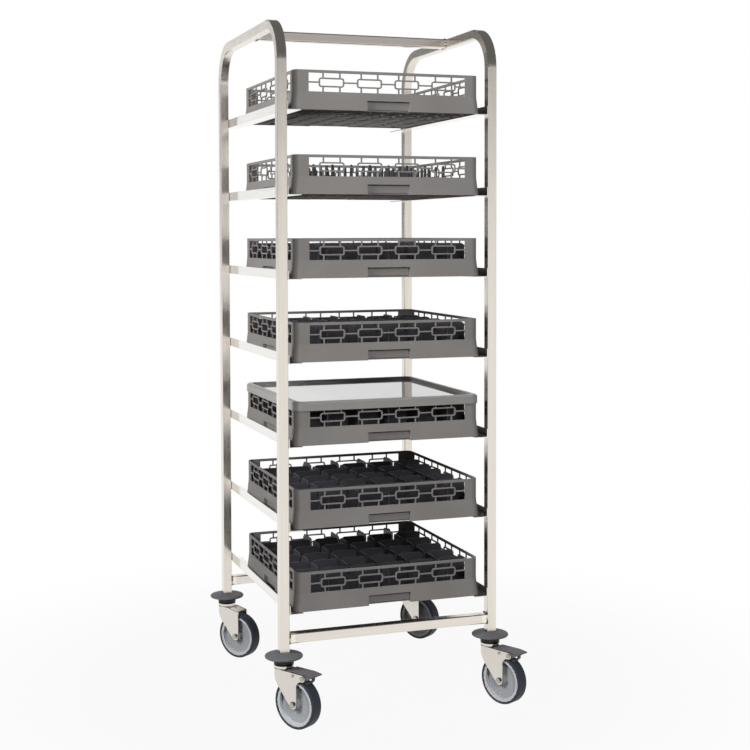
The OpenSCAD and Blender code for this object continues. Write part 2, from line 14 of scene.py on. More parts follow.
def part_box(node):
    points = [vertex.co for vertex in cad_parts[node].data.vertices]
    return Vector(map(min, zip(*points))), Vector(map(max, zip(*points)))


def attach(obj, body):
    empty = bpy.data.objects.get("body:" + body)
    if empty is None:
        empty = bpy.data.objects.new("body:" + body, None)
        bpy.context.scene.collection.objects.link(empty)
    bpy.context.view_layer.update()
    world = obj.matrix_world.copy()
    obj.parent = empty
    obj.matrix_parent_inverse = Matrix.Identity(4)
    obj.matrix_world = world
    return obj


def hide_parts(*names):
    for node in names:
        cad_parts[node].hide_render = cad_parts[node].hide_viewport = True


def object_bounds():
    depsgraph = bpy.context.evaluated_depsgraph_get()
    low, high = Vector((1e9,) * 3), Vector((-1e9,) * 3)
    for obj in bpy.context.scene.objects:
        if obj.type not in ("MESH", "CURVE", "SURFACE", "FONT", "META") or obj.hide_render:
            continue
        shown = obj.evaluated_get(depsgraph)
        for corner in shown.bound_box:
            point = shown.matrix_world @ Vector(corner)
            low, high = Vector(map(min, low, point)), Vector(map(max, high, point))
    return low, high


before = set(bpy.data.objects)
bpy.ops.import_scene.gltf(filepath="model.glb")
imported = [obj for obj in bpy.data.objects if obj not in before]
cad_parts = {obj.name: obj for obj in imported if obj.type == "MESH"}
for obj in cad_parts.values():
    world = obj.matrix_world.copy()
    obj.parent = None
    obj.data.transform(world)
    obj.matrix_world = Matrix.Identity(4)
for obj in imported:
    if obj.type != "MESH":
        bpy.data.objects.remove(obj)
CAD_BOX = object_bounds()

bl_info = {
    "name": "Glass Rack Dolly",
    "version": (1, 0, 0),
    "blender": (4, 5, 0),
    "location": "View3D > Sidebar > Dolly",
    "description": "Finishes, welds, brake pedals and studio for a glass rack dolly",
    "category": "Object",
}

TIERS = range(1, 8)
DIVIDED_TIERS = range(3, 8)
PEG_RACK = "rack_2"
LID = "rack_lid"
SIDES = ("left", "right")
HOOPS = tuple(f"{side}_side_frame" for side in SIDES)
CROSSBARS = ("top_crossbar", "front_bottom_crossbar", "rear_bottom_crossbar")
RUNNERS = tuple(f"{side}_runner_{tier}" for side in SIDES for tier in TIERS)
CASTORS = ("front_left", "front_right", "rear_left", "rear_right")
BRAKED = CASTORS[:2]
WHITE = (1.0, 1.0, 1.0, 1.0)


# Values that a user may change

def srgb(red, green, blue):
    """Linear colour of an 8-bit display colour."""
    return tuple(((c / 255 + 0.055) / 1.055) ** 2.4 for c in (red, green, blue))


def colour_prop(name, description, display):
    return FloatVectorProperty(name=name, description=description, default=srgb(*display),
                               subtype="COLOR", min=0.0, max=1.0, size=3)


def length_prop(name, description, default):
    return FloatProperty(name=name, description=description, default=default, unit="LENGTH", min=0.0)


def share_prop(name, description, default):
    return FloatProperty(name=name, description=description, default=default,
                         subtype="FACTOR", min=0.0, max=1.0)


def roughness_prop(name, surface, default):
    return share_prop(f"{name} roughness", f"Mean roughness of {surface}", default)


def power_prop(name, description, default):
    return FloatProperty(name=name, description=description, default=default, unit="POWER", min=0.0)


def angle_prop(name, description, degrees):
    return FloatProperty(name=name, description=description, default=math.radians(degrees), unit="ROTATION")


class SteelFinish(bpy.types.PropertyGroup):
    """Sizes and finishes of the steelwork."""

    tube_colour: colour_prop("Tube", "Satin stainless tube", (235, 228, 219))
    sheet_colour: colour_prop("Sheet", "Bright stainless sheet of the runners", (240, 238, 234))
    castor_colour: colour_prop("Castor steel", "Pressed stainless forks and cups", (224, 219, 210))
    fastener_colour: colour_prop("Fasteners", "Plain steel of axles and pins", (186, 181, 172))
    weld_colour: colour_prop("Welds", "Heat-tinted weld beads", (104, 90, 76))
    tube_roughness: roughness_prop("Tube", "the satin tube", 0.21)
    sheet_roughness: roughness_prop("Sheet", "the runner sheet", 0.1)
    cup_roughness: roughness_prop("Cup", "the polished swivel cups", 0.12)
    streak: share_prop("Streak", "Swing of tone and roughness across the grain", 0.07)
    pressed_streak: share_prop("Pressed streak", "Swing across the grain of forks and cups", 0.02)
    cleaned_length: length_prop("Cleaned ends", "Length of the weld-cleaned end of a crossbar", 0.016)
    cleaned_lift: share_prop("Cleaned lift", "How much paler than the tube a cleaned end is", 0.12)
    bend_radius: length_prop("Bend", "Outside radius of the bends at the top", 0.110)
    bead_radius: length_prop("Weld bead", "Radius of a weld bead", 0.0022)
    edge_radius: length_prop("Edge", "Softening of the steel edges", 0.0008)


class PlasticFinish(bpy.types.PropertyGroup):
    """Sizes and finishes of the racks, dividers and lid."""

    rack_colour: colour_prop("Rack", "Grey moulded rack", (128, 125, 123))
    # Painted shade: the edges of the racks are darkened towards this colour
    edge_shade_colour: colour_prop("Painted edge shade", "Painted shade along the edges of the racks", (78, 76, 75))
    # Painted shade: the pegs are painted darker than the rack
    peg_shade_colour: colour_prop("Pegs", "Darker grey of the pegs, painted as shade", (74, 73, 74))
    divider_colour: colour_prop("Dividers", "Charcoal divider strips", (56, 56, 60))
    lid_colour: colour_prop("Lid rim", "Grey rim of the lid", (134, 132, 129))
    panel_colour: colour_prop("Lid panel", "Grey panel sunk into the lid", (146, 143, 140))
    rack_roughness: roughness_prop("Rack", "the racks", 0.72)
    rack_shine: share_prop("Rack shine", "Specular level of the racks", 0.06)
    # Share of that painted edge shade on the racks
    rack_edge_shading: share_prop("Rack edge shading", "How far the edges of the racks take the painted shade", 0.95)
    peg_roughness: roughness_prop("Peg", "the pegs", 0.6)
    divider_roughness: roughness_prop("Divider", "the divider strips", 0.5)
    rim_roughness: roughness_prop("Rim", "the rim of the lid", 0.32)
    panel_roughness: roughness_prop("Panel", "the glossy lid panel", 0.06)
    panel_lacquer: share_prop("Panel lacquer", "Weight of the clear coat on the lid panel", 0.5)
    peg_inset: length_prop("Peg inset", "Distance from the outside of a rack to its pegs", 0.026)
    peg_floor: length_prop("Peg floor", "Height of the floor that the pegs stand on", 0.0065)
    rim_width: length_prop("Rim width", "Width of the rim round the lid panel", 0.0175)
    edge_radius: length_prop("Edge", "Softening of the moulded edges", 0.0012)


class CastorFinish(bpy.types.PropertyGroup):
    """Sizes and finishes of the castors."""

    tyre_colour: colour_prop("Tyre", "Dark grey tyre", (49, 54, 63))
    # Painted shade: the recessed web is painted darker than the rim
    web_shade_colour: colour_prop("Wheel web", "Grey web of the moulded wheel centre, darkened as painted shade", (148, 150, 153))
    rim_colour: colour_prop("Wheel rim", "Paler rim of the moulded wheel centre", (184, 186, 188))
    bumper_colour: colour_prop("Bumper", "Grey bumper disc", (92, 93, 95))
    neck_colour: colour_prop("Bumper neck", "Dark ring under a bumper disc", (26, 26, 29))
    pedal_colour: colour_prop("Pedal", "Dark grey brake pedal", (96, 93, 96))
    tyre_roughness: roughness_prop("Tyre", "the tyres", 0.55)
    web_roughness: roughness_prop("Web", "the wheel webs", 0.4)
    rim_roughness: roughness_prop("Rim", "the wheel rims", 0.35)
    bumper_roughness: roughness_prop("Bumper", "the bumper discs", 0.6)
    neck_roughness: roughness_prop("Neck", "the bumper necks", 0.5)
    pedal_roughness: roughness_prop("Pedal", "the brake pedals", 0.5)
    rim_width: length_prop("Rim width", "Width of the rim of a wheel centre", 0.0075)
    neck_height: length_prop("Neck height", "Height of the dark ring under a bumper disc", 0.0055)
    cup_height: length_prop("Cup height", "Height of a swivel cup", 0.0115)
    # A dark band at the top of each swivel cup
    cup_band_height: length_prop("Cup band height", "Height of the dark band at the top of a swivel cup", 0.0045)
    # Painted shadow: a dark band along the lower edge of each swivel cup
    cup_shadow_height: length_prop("Cup shadow", "Height of the painted shadow along the lower edge of a swivel cup", 0.0012)
    edge_radius: length_prop("Edge", "Softening of the castor edges", 0.001)


class PedalForm(bpy.types.PropertyGroup):
    """Sizes of a brake pedal: reaches along the trail from the swivel axis, heights from the floor."""

    pin_reach: length_prop("Pin reach", "Reach of the pin", 0.076)
    pin_height: length_prop("Pin height", "Height of the pin", 0.1325)
    pin_hole: length_prop("Pin hole", "Radius of the hole for the pin", 0.0043)
    back: length_prop("Back", "Reach of the back edge", 0.027)
    bend: length_prop("Bend", "Reach at which the plate dips", 0.085)
    tip: length_prop("Tip", "Reach of the tip", 0.107)
    dip: length_prop("Dip", "Dip of the plate at its tip", 0.0032)
    top: length_prop("Top", "Height of the top of the plate", 0.1446)
    sheet: length_prop("Sheet", "Thickness of plate, cheeks and shoe", 0.0025)
    width: length_prop("Width", "Width of the plate", 0.038)
    cheek_width: length_prop("Cheek width", "Width over the cheeks", 0.034)
    cheek_radius: length_prop("Cheek radius", "Radius of the cheeks round the pin", 0.009)
    hook_reach: length_prop("Hook reach", "Reach of the front of the hook", 0.0975)
    hook_bend: length_prop("Hook bend", "Height at which the hook bends back", 0.127)
    hook_toe: length_prop("Hook toe", "Length and drop of the hook's toe", 0.006)
    hook_sheet: length_prop("Hook sheet", "Thickness of the hook", 0.0045)
    hook_width: length_prop("Hook width", "Width of the hook", 0.008)
    shoe_gap: length_prop("Shoe gap", "Gap from the pressed shoe to the tyre", 0.0006)
    shoe_width: length_prop("Shoe width", "Width of the shoe", 0.020)
    throw: angle_prop("Throw", "Turn that presses the shoe to the tyre", 12.0)
    shoe_start: angle_prop("Shoe start", "Direction of the shoe's front end from the axle, pressed", 56.0)
    shoe_lug: angle_prop("Shoe lug", "Direction of the hook's foot from the axle, pressed", 60.0)
    shoe_end: angle_prop("Shoe end", "Direction of the shoe's rear end from the axle, pressed", 66.0)
    sharp: angle_prop("Sharp edges", "Turn between two faces past which their edge stays sharp", 20.0)


class StudioSetup(bpy.types.PropertyGroup):
    """Camera, floor and light. A rise is a height above level, as the sine of its angle."""

    camera_place: FloatVectorProperty(name="Camera", description="Place of the camera", size=3,
                                      default=(-1.1874, -3.5354, 1.2147), subtype="TRANSLATION")
    camera_turn: angle_prop("Turn", "Turn of the camera to the right of +Y", 18.91)
    camera_dip: angle_prop("Dip", "Dip of the camera below level", 2.41)
    camera_roll: angle_prop("Roll", "Roll of the camera", -0.17)
    lens: FloatProperty(name="Lens", description="Focal length", default=65.65, unit="CAMERA")
    sensor: FloatProperty(name="Sensor", description="Width of the sensor", default=36.0, unit="CAMERA")
    shift_x: FloatProperty(name="Shift X", description="Sideways shift of the frame", default=0.0215)
    shift_y: FloatProperty(name="Shift Y", description="Upward shift of the frame", default=-0.1107)
    floor_colour: colour_prop("Floor", "Floor as the lamps light it", (64, 64, 64))
    floor_glow: share_prop("Floor glow", "How far the floor is lifted to white under the object", 0.94)
    floor_near: length_prop("Floor near", "Distance from the middle at which the lift starts to grow", 0.5)
    floor_far: length_prop("Floor far", "Distance from the middle at which the floor is white", 1.6)
    floor_half: length_prop("Floor half", "Half the width of the floor", 40.0)
    fill_level: share_prop("Fill", "Level of the even light from all sides", 0.11)
    gloom_level: share_prop("Gloom", "Level of the dark parts of the background", 0.14)
    gloom_rise: share_prop("Gloom rise", "Rise at which it is dark over the camera", 0.24)
    ceiling_rise: share_prop("Ceiling rise", "Rise at which it is dark all round", 0.5)
    screen_left: angle_prop("Screen left", "Left end of the white behind the object, left of +Y", 18.0)
    left_softbox_power: power_prop("Left power", "Power of the softbox on the left", 105.0)
    key_light_power: power_prop("Key power", "Power of the soft light beside the camera", 118.0)
    top_light_power: power_prop("Top power", "Power of the soft light overhead", 20.0)
    rear_light_power: power_prop("Rear power", "Power of the soft light behind the object", 110.0)


# Node building

SINGLE_VALUE = ("DOT_PRODUCT", "DISTANCE", "LENGTH")


def fill_inputs(tree, sockets, values):
    """Links each socket to the one given for it, or sets the plain value given for it."""
    for key, value in values.items():
        if isinstance(value, bpy.types.NodeSocket):
            tree.links.new(value, sockets[key])
        else:
            sockets[key].default_value = value


def add_node(tree, kind, inputs=None, **settings):
    """Adds a node, sets its settings, and sets or links its inputs."""
    node = tree.nodes.new(kind)
    for key, value in settings.items():
        setattr(node, key, value)
    fill_inputs(tree, node.inputs, inputs or {})
    return node


def math_node(tree, operation, *values):
    return add_node(tree, "ShaderNodeMath", dict(enumerate(values)), operation=operation).outputs[0]


def times(tree, first, second):
    return math_node(tree, "MULTIPLY", first, second)


def vector_node(tree, operation, *values):
    node = add_node(tree, "ShaderNodeVectorMath", dict(enumerate(values)), operation=operation)
    return node.outputs["Value" if operation in SINGLE_VALUE else "Vector"]


def axes(tree, vector):
    """X, Y and Z of a vector."""
    return add_node(tree, "ShaderNodeSeparateXYZ", {0: vector}).outputs


def joined(tree, x, y, z):
    """The vector of three values."""
    return add_node(tree, "ShaderNodeCombineXYZ", {0: x, 1: y, 2: z}).outputs[0]


def ranged(tree, value, low, high, out_low=0.0, out_high=1.0, smooth=False):
    """Maps a value from low..high to out_low..out_high, clamped."""
    inputs = {"Value": value, "From Min": low, "From Max": high, "To Min": out_low, "To Max": out_high}
    kind = "SMOOTHSTEP" if smooth else "LINEAR"
    node = add_node(tree, "ShaderNodeMapRange", inputs, interpolation_type=kind, clamp=True)
    return node.outputs["Result"]


def overrun(tree, value, limit):
    """How far a value is past a limit, and zero before it."""
    return math_node(tree, "MAXIMUM", math_node(tree, "SUBTRACT", value, limit), 0.0)


def noise(tree, vector, scale, detail=2.0, roughness=0.5):
    inputs = {"Vector": vector, "Scale": scale, "Detail": detail, "Roughness": roughness}
    return add_node(tree, "ShaderNodeTexNoise", inputs).outputs["Fac"]


def mix_node(tree, kind, factor, first, second):
    """Mixes two values of one kind, Color or Vector."""
    node = tree.nodes.new("ShaderNodeMix")
    node.data_type = {"Color": "RGBA", "Vector": "VECTOR"}[kind]
    sockets = {socket.identifier: socket for socket in node.inputs}
    fill_inputs(tree, sockets, {"Factor_Float": factor, f"A_{kind}": first, f"B_{kind}": second})
    return next(socket for socket in node.outputs if socket.identifier == f"Result_{kind}")


def mixed(tree, factor, *colours):
    """Mixes two colours."""
    opaque = [c if isinstance(c, bpy.types.NodeSocket) else (*c, 1.0) for c in colours]
    return mix_node(tree, "Color", factor, *opaque)


def bump(tree, height, normal, strength, distance):
    inputs = {"Height": height, "Normal": normal, "Strength": strength, "Distance": distance}
    return add_node(tree, "ShaderNodeBump", inputs).outputs["Normal"]


def object_place(tree):
    """Place on the piece, in metres, which moves with the piece."""
    return add_node(tree, "ShaderNodeTexCoord").outputs["Object"]


def new_group(name, inputs, outputs, build):
    """A shader node group. build(tree, given) returns a socket for each output."""
    tree = bpy.data.node_groups.new(name, "ShaderNodeTree")
    for way, sockets in (("INPUT", inputs), ("OUTPUT", outputs)):
        for label, kind in sockets.items():
            tree.interface.new_socket(name=label, in_out=way, socket_type=kind)
    given = tree.nodes.new("NodeGroupInput").outputs
    target = tree.nodes.new("NodeGroupOutput").inputs
    for label, socket in build(tree, given).items():
        tree.links.new(socket, target[label])
    return tree


# Shared surface effects

NOISE_SPAN = (0.3, 0.7)  # the span of a noise that is stretched to a full swing
EDGE_AGREEMENT = (0.99, 0.8)  # agreement of rounded and flat normal, from off an edge to on it
EDGE_BREAKUP = 60.0  # scale of the noise that breaks up the edge tone: scuffs, and on the racks painted shade
EDGE_SPAN = (0.42, 0.62)  # the span of that noise
MOTTLE_SPAN = (0.35, 0.65)  # the span of the mottle's noise
MOTTLE_SHARES = (0.7, 0.3)  # shares of broad and fine noise in the mottle
FINER = 23.0  # how much finer the fine noise is
FACES_BEND = (0.92, 0.98)  # lean to the bend, from a face that stays flat to one that turns with it
SCRATCH_SCALE = (900.0, 900.0, 14.0)
BAND_SCALE = (110.0, 110.0, 2.2)


def build_soft_edges(tree, given):
    """Normals rounded over the edges, and a broken mask along them."""
    rounded = add_node(tree, "ShaderNodeBevel", {"Radius": given["Radius"]}, samples=6).outputs["Normal"]
    flat = add_node(tree, "ShaderNodeNewGeometry").outputs["Normal"]
    edge = ranged(tree, vector_node(tree, "DOT_PRODUCT", rounded, flat), *EDGE_AGREEMENT)
    breakup = ranged(tree, noise(tree, object_place(tree), EDGE_BREAKUP, detail=3.0), *EDGE_SPAN)
    # The edge mask carries scuffs, and on the racks painted shade
    return {"Normal": rounded, "Worn": times(tree, edge, breakup)}


def build_mottle(tree, given):
    """Soft patches, and a fine grain."""
    place = object_place(tree)
    broad = noise(tree, place, given["Scale"], detail=3.0)
    fine = noise(tree, place, times(tree, given["Scale"], FINER), roughness=0.6)
    parts = [times(tree, *pair) for pair in zip((broad, fine), MOTTLE_SHARES)]
    return {"Mask": ranged(tree, math_node(tree, "ADD", *parts), *MOTTLE_SPAN), "Grain": fine}


def build_hoop_path(tree, given):
    """Place on a bent hoop: X stays, Y becomes the distance out from the bend, Z the way along."""
    place = axes(tree, object_place(tree))
    depth = math_node(tree, "ABSOLUTE", place["Y"])
    out_y = overrun(tree, depth, given["Half run"])
    out_z = overrun(tree, place["Z"], given["Bend height"])
    squares = [times(tree, out, out) for out in (out_y, out_z)]
    radial = math_node(tree, "SQRT", math_node(tree, "ADD", *squares))
    turn = times(tree, math_node(tree, "ARCTAN2", out_z, out_y), given["Bend radius"])
    on_run = math_node(tree, "MINIMUM", depth, given["Half run"])
    along_run = math_node(tree, "SUBTRACT", given["Half run"], on_run)
    along_post = math_node(tree, "MINIMUM", place["Z"], given["Bend height"])
    along = math_node(tree, "ADD", math_node(tree, "ADD", along_post, turn), along_run)
    return {"Path": joined(tree, place["X"], radial, along)}


def build_hoop_normal(tree, given):
    """Normal of a bent hoop, made even along its bends on the faces that turn with them."""
    place = axes(tree, object_place(tree))
    past_run = overrun(tree, math_node(tree, "ABSOLUTE", place["Y"]), given["Half run"])
    out_y = times(tree, past_run, math_node(tree, "SIGN", place["Y"]))
    out_z = overrun(tree, place["Z"], given["Bend height"])
    turned = add_node(tree, "ShaderNodeVectorTransform", {0: joined(tree, 0.0, out_y, out_z)},
                      vector_type="NORMAL", convert_from="OBJECT", convert_to="WORLD").outputs[0]
    radial = vector_node(tree, "NORMALIZE", turned)
    lean = vector_node(tree, "DOT_PRODUCT", given["Normal"], radial)
    facing = add_node(tree, "ShaderNodeVectorMath", {0: radial, "Scale": math_node(tree, "SIGN", lean)},
                      operation="SCALE").outputs["Vector"]
    turns = ranged(tree, math_node(tree, "ABSOLUTE", lean), *FACES_BEND)
    even = mix_node(tree, "Vector", turns, given["Normal"], facing)
    return {"Normal": vector_node(tree, "NORMALIZE", even)}


def build_brushed_lines(tree, given):
    """Fine scratches along Z of the path, and broader bands of shade between them."""
    scratch = noise(tree, vector_node(tree, "MULTIPLY", given["Path"], SCRATCH_SCALE), 1.0, roughness=0.6)
    shade = noise(tree, vector_node(tree, "MULTIPLY", given["Path"], BAND_SCALE), 1.0)
    return {"Scratch": scratch, "Shade": ranged(tree, shade, *NOISE_SPAN)}


FLOAT, VECTOR = "NodeSocketFloat", "NodeSocketVector"
GROUPS = {
    "Soft edges": ({"Radius": FLOAT}, {"Normal": VECTOR, "Worn": FLOAT}, build_soft_edges),
    "Mottle": ({"Scale": FLOAT}, {"Mask": FLOAT, "Grain": FLOAT}, build_mottle),
    "Hoop path": ({"Half run": FLOAT, "Bend height": FLOAT, "Bend radius": FLOAT}, {"Path": VECTOR},
                  build_hoop_path),
    "Hoop normal": ({"Half run": FLOAT, "Bend height": FLOAT, "Normal": VECTOR}, {"Normal": VECTOR},
                    build_hoop_normal),
    "Brushed lines": ({"Path": VECTOR}, {"Scratch": FLOAT, "Shade": FLOAT}, build_brushed_lines),
}


def place_group(tree, name, inputs):
    """Places a shared effect in a material, and builds it when it is first asked for."""
    group = bpy.data.node_groups.get(name) or new_group(name, *GROUPS[name])
    return add_node(tree, "ShaderNodeGroup", inputs, node_tree=group).outputs


# Finishes

MOULDED_MOTTLE = 9.0  # scale of the patches on plastic and rubber
MOULDED_SHADES = (0.93, 1.06)  # shades of a moulded colour in its patches
MOULDED_SWING = (-0.05, 0.06)  # what its patches add to its roughness
TWO_TONE_SHADES = (0.94, 1.05)  # the same for a piece in two tones
TWO_TONE_SWING = (0.85, 1.15)  # by what its patches multiply its roughness
STEEL_MOTTLE = 5.0  # scale of the patches on steel
STEEL_STAIN = 0.5  # how far the patches take the stain
STAIN_SHADE = 0.94  # shade of the stain


def new_material(name):
    """An empty material, with its tree and its Principled BSDF."""
    material = bpy.data.materials.new(name)
    material.use_nodes = True
    tree = material.node_tree
    return material, tree, tree.nodes["Principled BSDF"]


def use_material(name, material):
    """Gives a CAD node one material in place of its plain one."""
    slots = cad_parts[name].data.materials
    slots.clear()
    slots.append(material)


def shaded(colour, factor):
    return tuple(c * factor for c in colour)


def mottled(tree, mask, colour, shades):
    """A colour that wavers between two shades of itself."""
    return mixed(tree, mask, *(shaded(colour, shade) for shade in shades))


def moulded(name, colour, edge_wear_or_shade, edge_radius, roughness, specular=0.3, wear_or_shade=0.35):
    """Moulded plastic or rubber: mottled, finely grained, with a second tone along its edges: scuffs, and
    on the racks painted shade.
    """
    material, tree, skin = new_material(name)
    mottle = place_group(tree, "Mottle", {"Scale": MOULDED_MOTTLE})
    edges = place_group(tree, "Soft edges", {"Radius": edge_radius})
    body = mottled(tree, mottle["Mask"], colour, MOULDED_SHADES)
    # On the racks this edge tone is painted shade; elsewhere it is scuffing
    body = mixed(tree, times(tree, edges["Worn"], wear_or_shade), body, edge_wear_or_shade)
    gloss = ranged(tree, mottle["Mask"], 0.0, 1.0, *(roughness + swing for swing in MOULDED_SWING))
    grained = bump(tree, mottle["Grain"], edges["Normal"], strength=0.5, distance=0.00012)
    fill_inputs(tree, skin.inputs, {"Base Color": body, "Roughness": gloss, "Normal": grained,
                                    "Specular IOR Level": specular})
    return material


def moulded_in_two(name, colours, edge_radius, roughness, mask_of, specular=0.5, lacquer=0.0):
    """Moulded plastic in two tones and glosses, the second, maybe lacquered, where mask_of(tree) is one."""
    material, tree, skin = new_material(name)
    mottle = place_group(tree, "Mottle", {"Scale": MOULDED_MOTTLE})
    edges = place_group(tree, "Soft edges", {"Radius": edge_radius})
    mask = mask_of(tree)
    tones = [mottled(tree, mottle["Mask"], colour, TWO_TONE_SHADES) for colour in colours]
    gloss = ranged(tree, mask, 0.0, 1.0, *roughness)
    swing = ranged(tree, mottle["Mask"], 0.0, 1.0, *TWO_TONE_SWING)
    grain = times(tree, mottle["Grain"], gloss)
    grained = bump(tree, grain, edges["Normal"], strength=0.5, distance=0.0002)
    fill_inputs(tree, skin.inputs, {"Base Color": mixed(tree, mask, *tones), "Normal": grained,
                                    "Roughness": times(tree, gloss, swing),
                                    "Specular IOR Level": specular})
    if lacquer:
        tree.links.new(times(tree, mask, lacquer), skin.inputs["Coat Weight"])
    return material


def brushed(name, colour, edge_radius, roughness, streak, path_of, mark_of=None, mark=None, normal_of=None):
    """Satin stainless steel, with its grain along the path that path_of(tree) gives.

    It has the tone mark where mark_of(tree) is one. normal_of(tree, normal) may turn its normals.
    """
    material, tree, skin = new_material(name)
    lines = place_group(tree, "Brushed lines", {"Path": path_of(tree)})
    mottle = place_group(tree, "Mottle", {"Scale": STEEL_MOTTLE})
    edges = place_group(tree, "Soft edges", {"Radius": edge_radius})
    body = mixed(tree, lines["Shade"], shaded(colour, 1 - streak), colour)
    stain = times(tree, mottle["Mask"], STEEL_STAIN)
    body = mixed(tree, stain, body, shaded(colour, STAIN_SHADE))
    if mark_of:
        body = mixed(tree, mark_of(tree), body, mark)
    gloss = ranged(tree, lines["Scratch"], *NOISE_SPAN, roughness - streak, roughness + streak)
    normal = normal_of(tree, edges["Normal"]) if normal_of else edges["Normal"]
    scratched = bump(tree, lines["Scratch"], normal, strength=0.25, distance=0.00005)
    fill_inputs(tree, skin.inputs, {"Base Color": body, "Metallic": 1.0, "Roughness": gloss,
                                    "Normal": scratched})
    return material


# Masks and grain paths

def above(tree, height, blur=0.0004):
    """One above a height."""
    return ranged(tree, axes(tree, object_place(tree))["Z"], height - blur, height + blur)


def beyond(tree, middle, reach, blur=0.0004):
    """One past a distance from a point."""
    off = vector_node(tree, "DISTANCE", object_place(tree), middle)
    return ranged(tree, off, reach - blur, reach + blur)


def within_outline(tree, name, inset, blur=0.001):
    """One where a square node, seen from above, is more than an inset inside its outline."""
    low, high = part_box(name)
    off = vector_node(tree, "SUBTRACT", object_place(tree), (low + high) / 2)
    way = axes(tree, vector_node(tree, "ABSOLUTE", off))
    reach = (high.x - low.x) / 2 - inset
    return ranged(tree, math_node(tree, "MAXIMUM", way["X"], way["Y"]), reach + blur, reach)


def grain_along(axis):
    """Path of the grain on a straight piece, as a function of its tree: the given axis becomes Z."""
    order = {"X": "YZX", "Y": "XZY", "Z": "XYZ"}[axis]

    def path_of(tree):
        place = axes(tree, object_place(tree))
        return joined(tree, *(place[name] for name in order))

    return path_of


# Meshes

def new_mesh(name, mesh):
    """Turns a bmesh into a mesh with its faces outward."""
    bmesh.ops.recalc_face_normals(mesh, faces=mesh.faces)
    data = bpy.data.meshes.new(name)
    mesh.to_mesh(data)
    mesh.free()
    return data


def finish_piece(name, mesh, material, body, sharp=math.pi):
    """Turns a bmesh into a piece that rides on a body, smooth but for edges past the angle sharp."""
    data = new_mesh(name, mesh)
    data.shade_smooth()
    data.set_sharp_from_angle(angle=sharp)
    data.materials.append(material)
    piece = bpy.data.objects.new(name, data)
    bpy.context.scene.collection.objects.link(piece)
    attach(piece, body)
    return piece


def middle_of(name):
    low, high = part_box(name)
    return (low + high) / 2


def arc(middle, radius, start, end, steps):
    """Points on an arc in a plane."""
    angles = [start + (end - start) * k / steps for k in range(steps + 1)]
    return [Vector(middle) + radius * Vector((math.cos(a), math.sin(a))) for a in angles]


def rounded_square(half, corner, steps=3):
    """Points round a square with round corners, in its own plane."""
    middle = (half - corner, half - corner)
    quarter = arc(middle, corner, 0.0, math.pi / 2, steps)
    return [Matrix.Rotation(k * math.pi / 2, 2) @ spot for k in range(4) for spot in quarter]


def resample(points, step, fewest=8):
    """Evenly spaced points round a closed outline."""
    closed = points + points[:1]
    lengths = [(b - a).length for a, b in zip(closed, closed[1:])]
    total = sum(lengths)
    count = max(fewest, round(total / step))
    spots, walked, index = [], 0.0, 0
    for k in range(count):
        target = total * k / count
        while walked + lengths[index] < target:
            walked += lengths[index]
            index += 1
        spots.append(closed[index].lerp(closed[index + 1], (target - walked) / lengths[index]))
    return spots


def add_bead(mesh, ring, radius, ripple=0.16, sides=8):
    """A weld bead along a closed ring of 3-D points, with a ripple at every fourth."""
    count = len(ring)
    middle = sum(ring, Vector()) / count
    turns = [2 * math.pi * k / sides for k in range(sides)]
    loops = []
    for i, spot in enumerate(ring):
        tangent = (ring[(i + 1) % count] - ring[i - 1]).normalized()
        out = spot - middle
        out = (out - tangent * out.dot(tangent)).normalized()
        side = tangent.cross(out)
        swell = radius * (1 + ripple * math.sin(i * math.pi / 2))
        ways = [math.cos(turn) * out + math.sin(turn) * side for turn in turns]
        loops.append([mesh.verts.new(spot + swell * way) for way in ways])
    for i in range(count):
        near, far = loops[i], loops[(i + 1) % count]
        for k in range(sides):
            mesh.faces.new((near[k], near[(k + 1) % sides], far[(k + 1) % sides], far[k]))


def add_prism(mesh, outline, near, far):
    """A closed prism on an outline in X and Z, between two places on Y."""
    ends = [[mesh.verts.new((x, y, z)) for x, z in outline] for y in (near, far)]
    for end in ends:
        mesh.faces.new(end)
    count = len(outline)
    for k in range(count):
        mesh.faces.new((ends[0][k], ends[0][(k + 1) % count], ends[1][(k + 1) % count], ends[1][k]))


def fused(base, added, cut):
    """The bmesh base with the shells of added joined on and those of cut taken away, as a new bmesh."""
    solids = [bpy.data.objects.new("pedal_solid", new_mesh("pedal_solid", m)) for m in (base, added, cut)]
    for solid in solids:
        bpy.context.scene.collection.objects.link(solid)
    for solid, operation in zip(solids[1:], ("UNION", "DIFFERENCE")):
        step = solids[0].modifiers.new(operation.title(), "BOOLEAN")
        step.operation = operation
        step.solver = "EXACT"
        step.use_self = True
        step.object = solid
    result = bmesh.new()
    result.from_object(solids[0], bpy.context.evaluated_depsgraph_get())
    for solid in solids:
        data = solid.data
        bpy.data.objects.remove(solid)
        bpy.data.meshes.remove(data)
    return result


# Operators, one for each group of pieces and one for the stage

class DollyOperator:
    """What the operators share."""

    bl_options = {"REGISTER", "UNDO"}


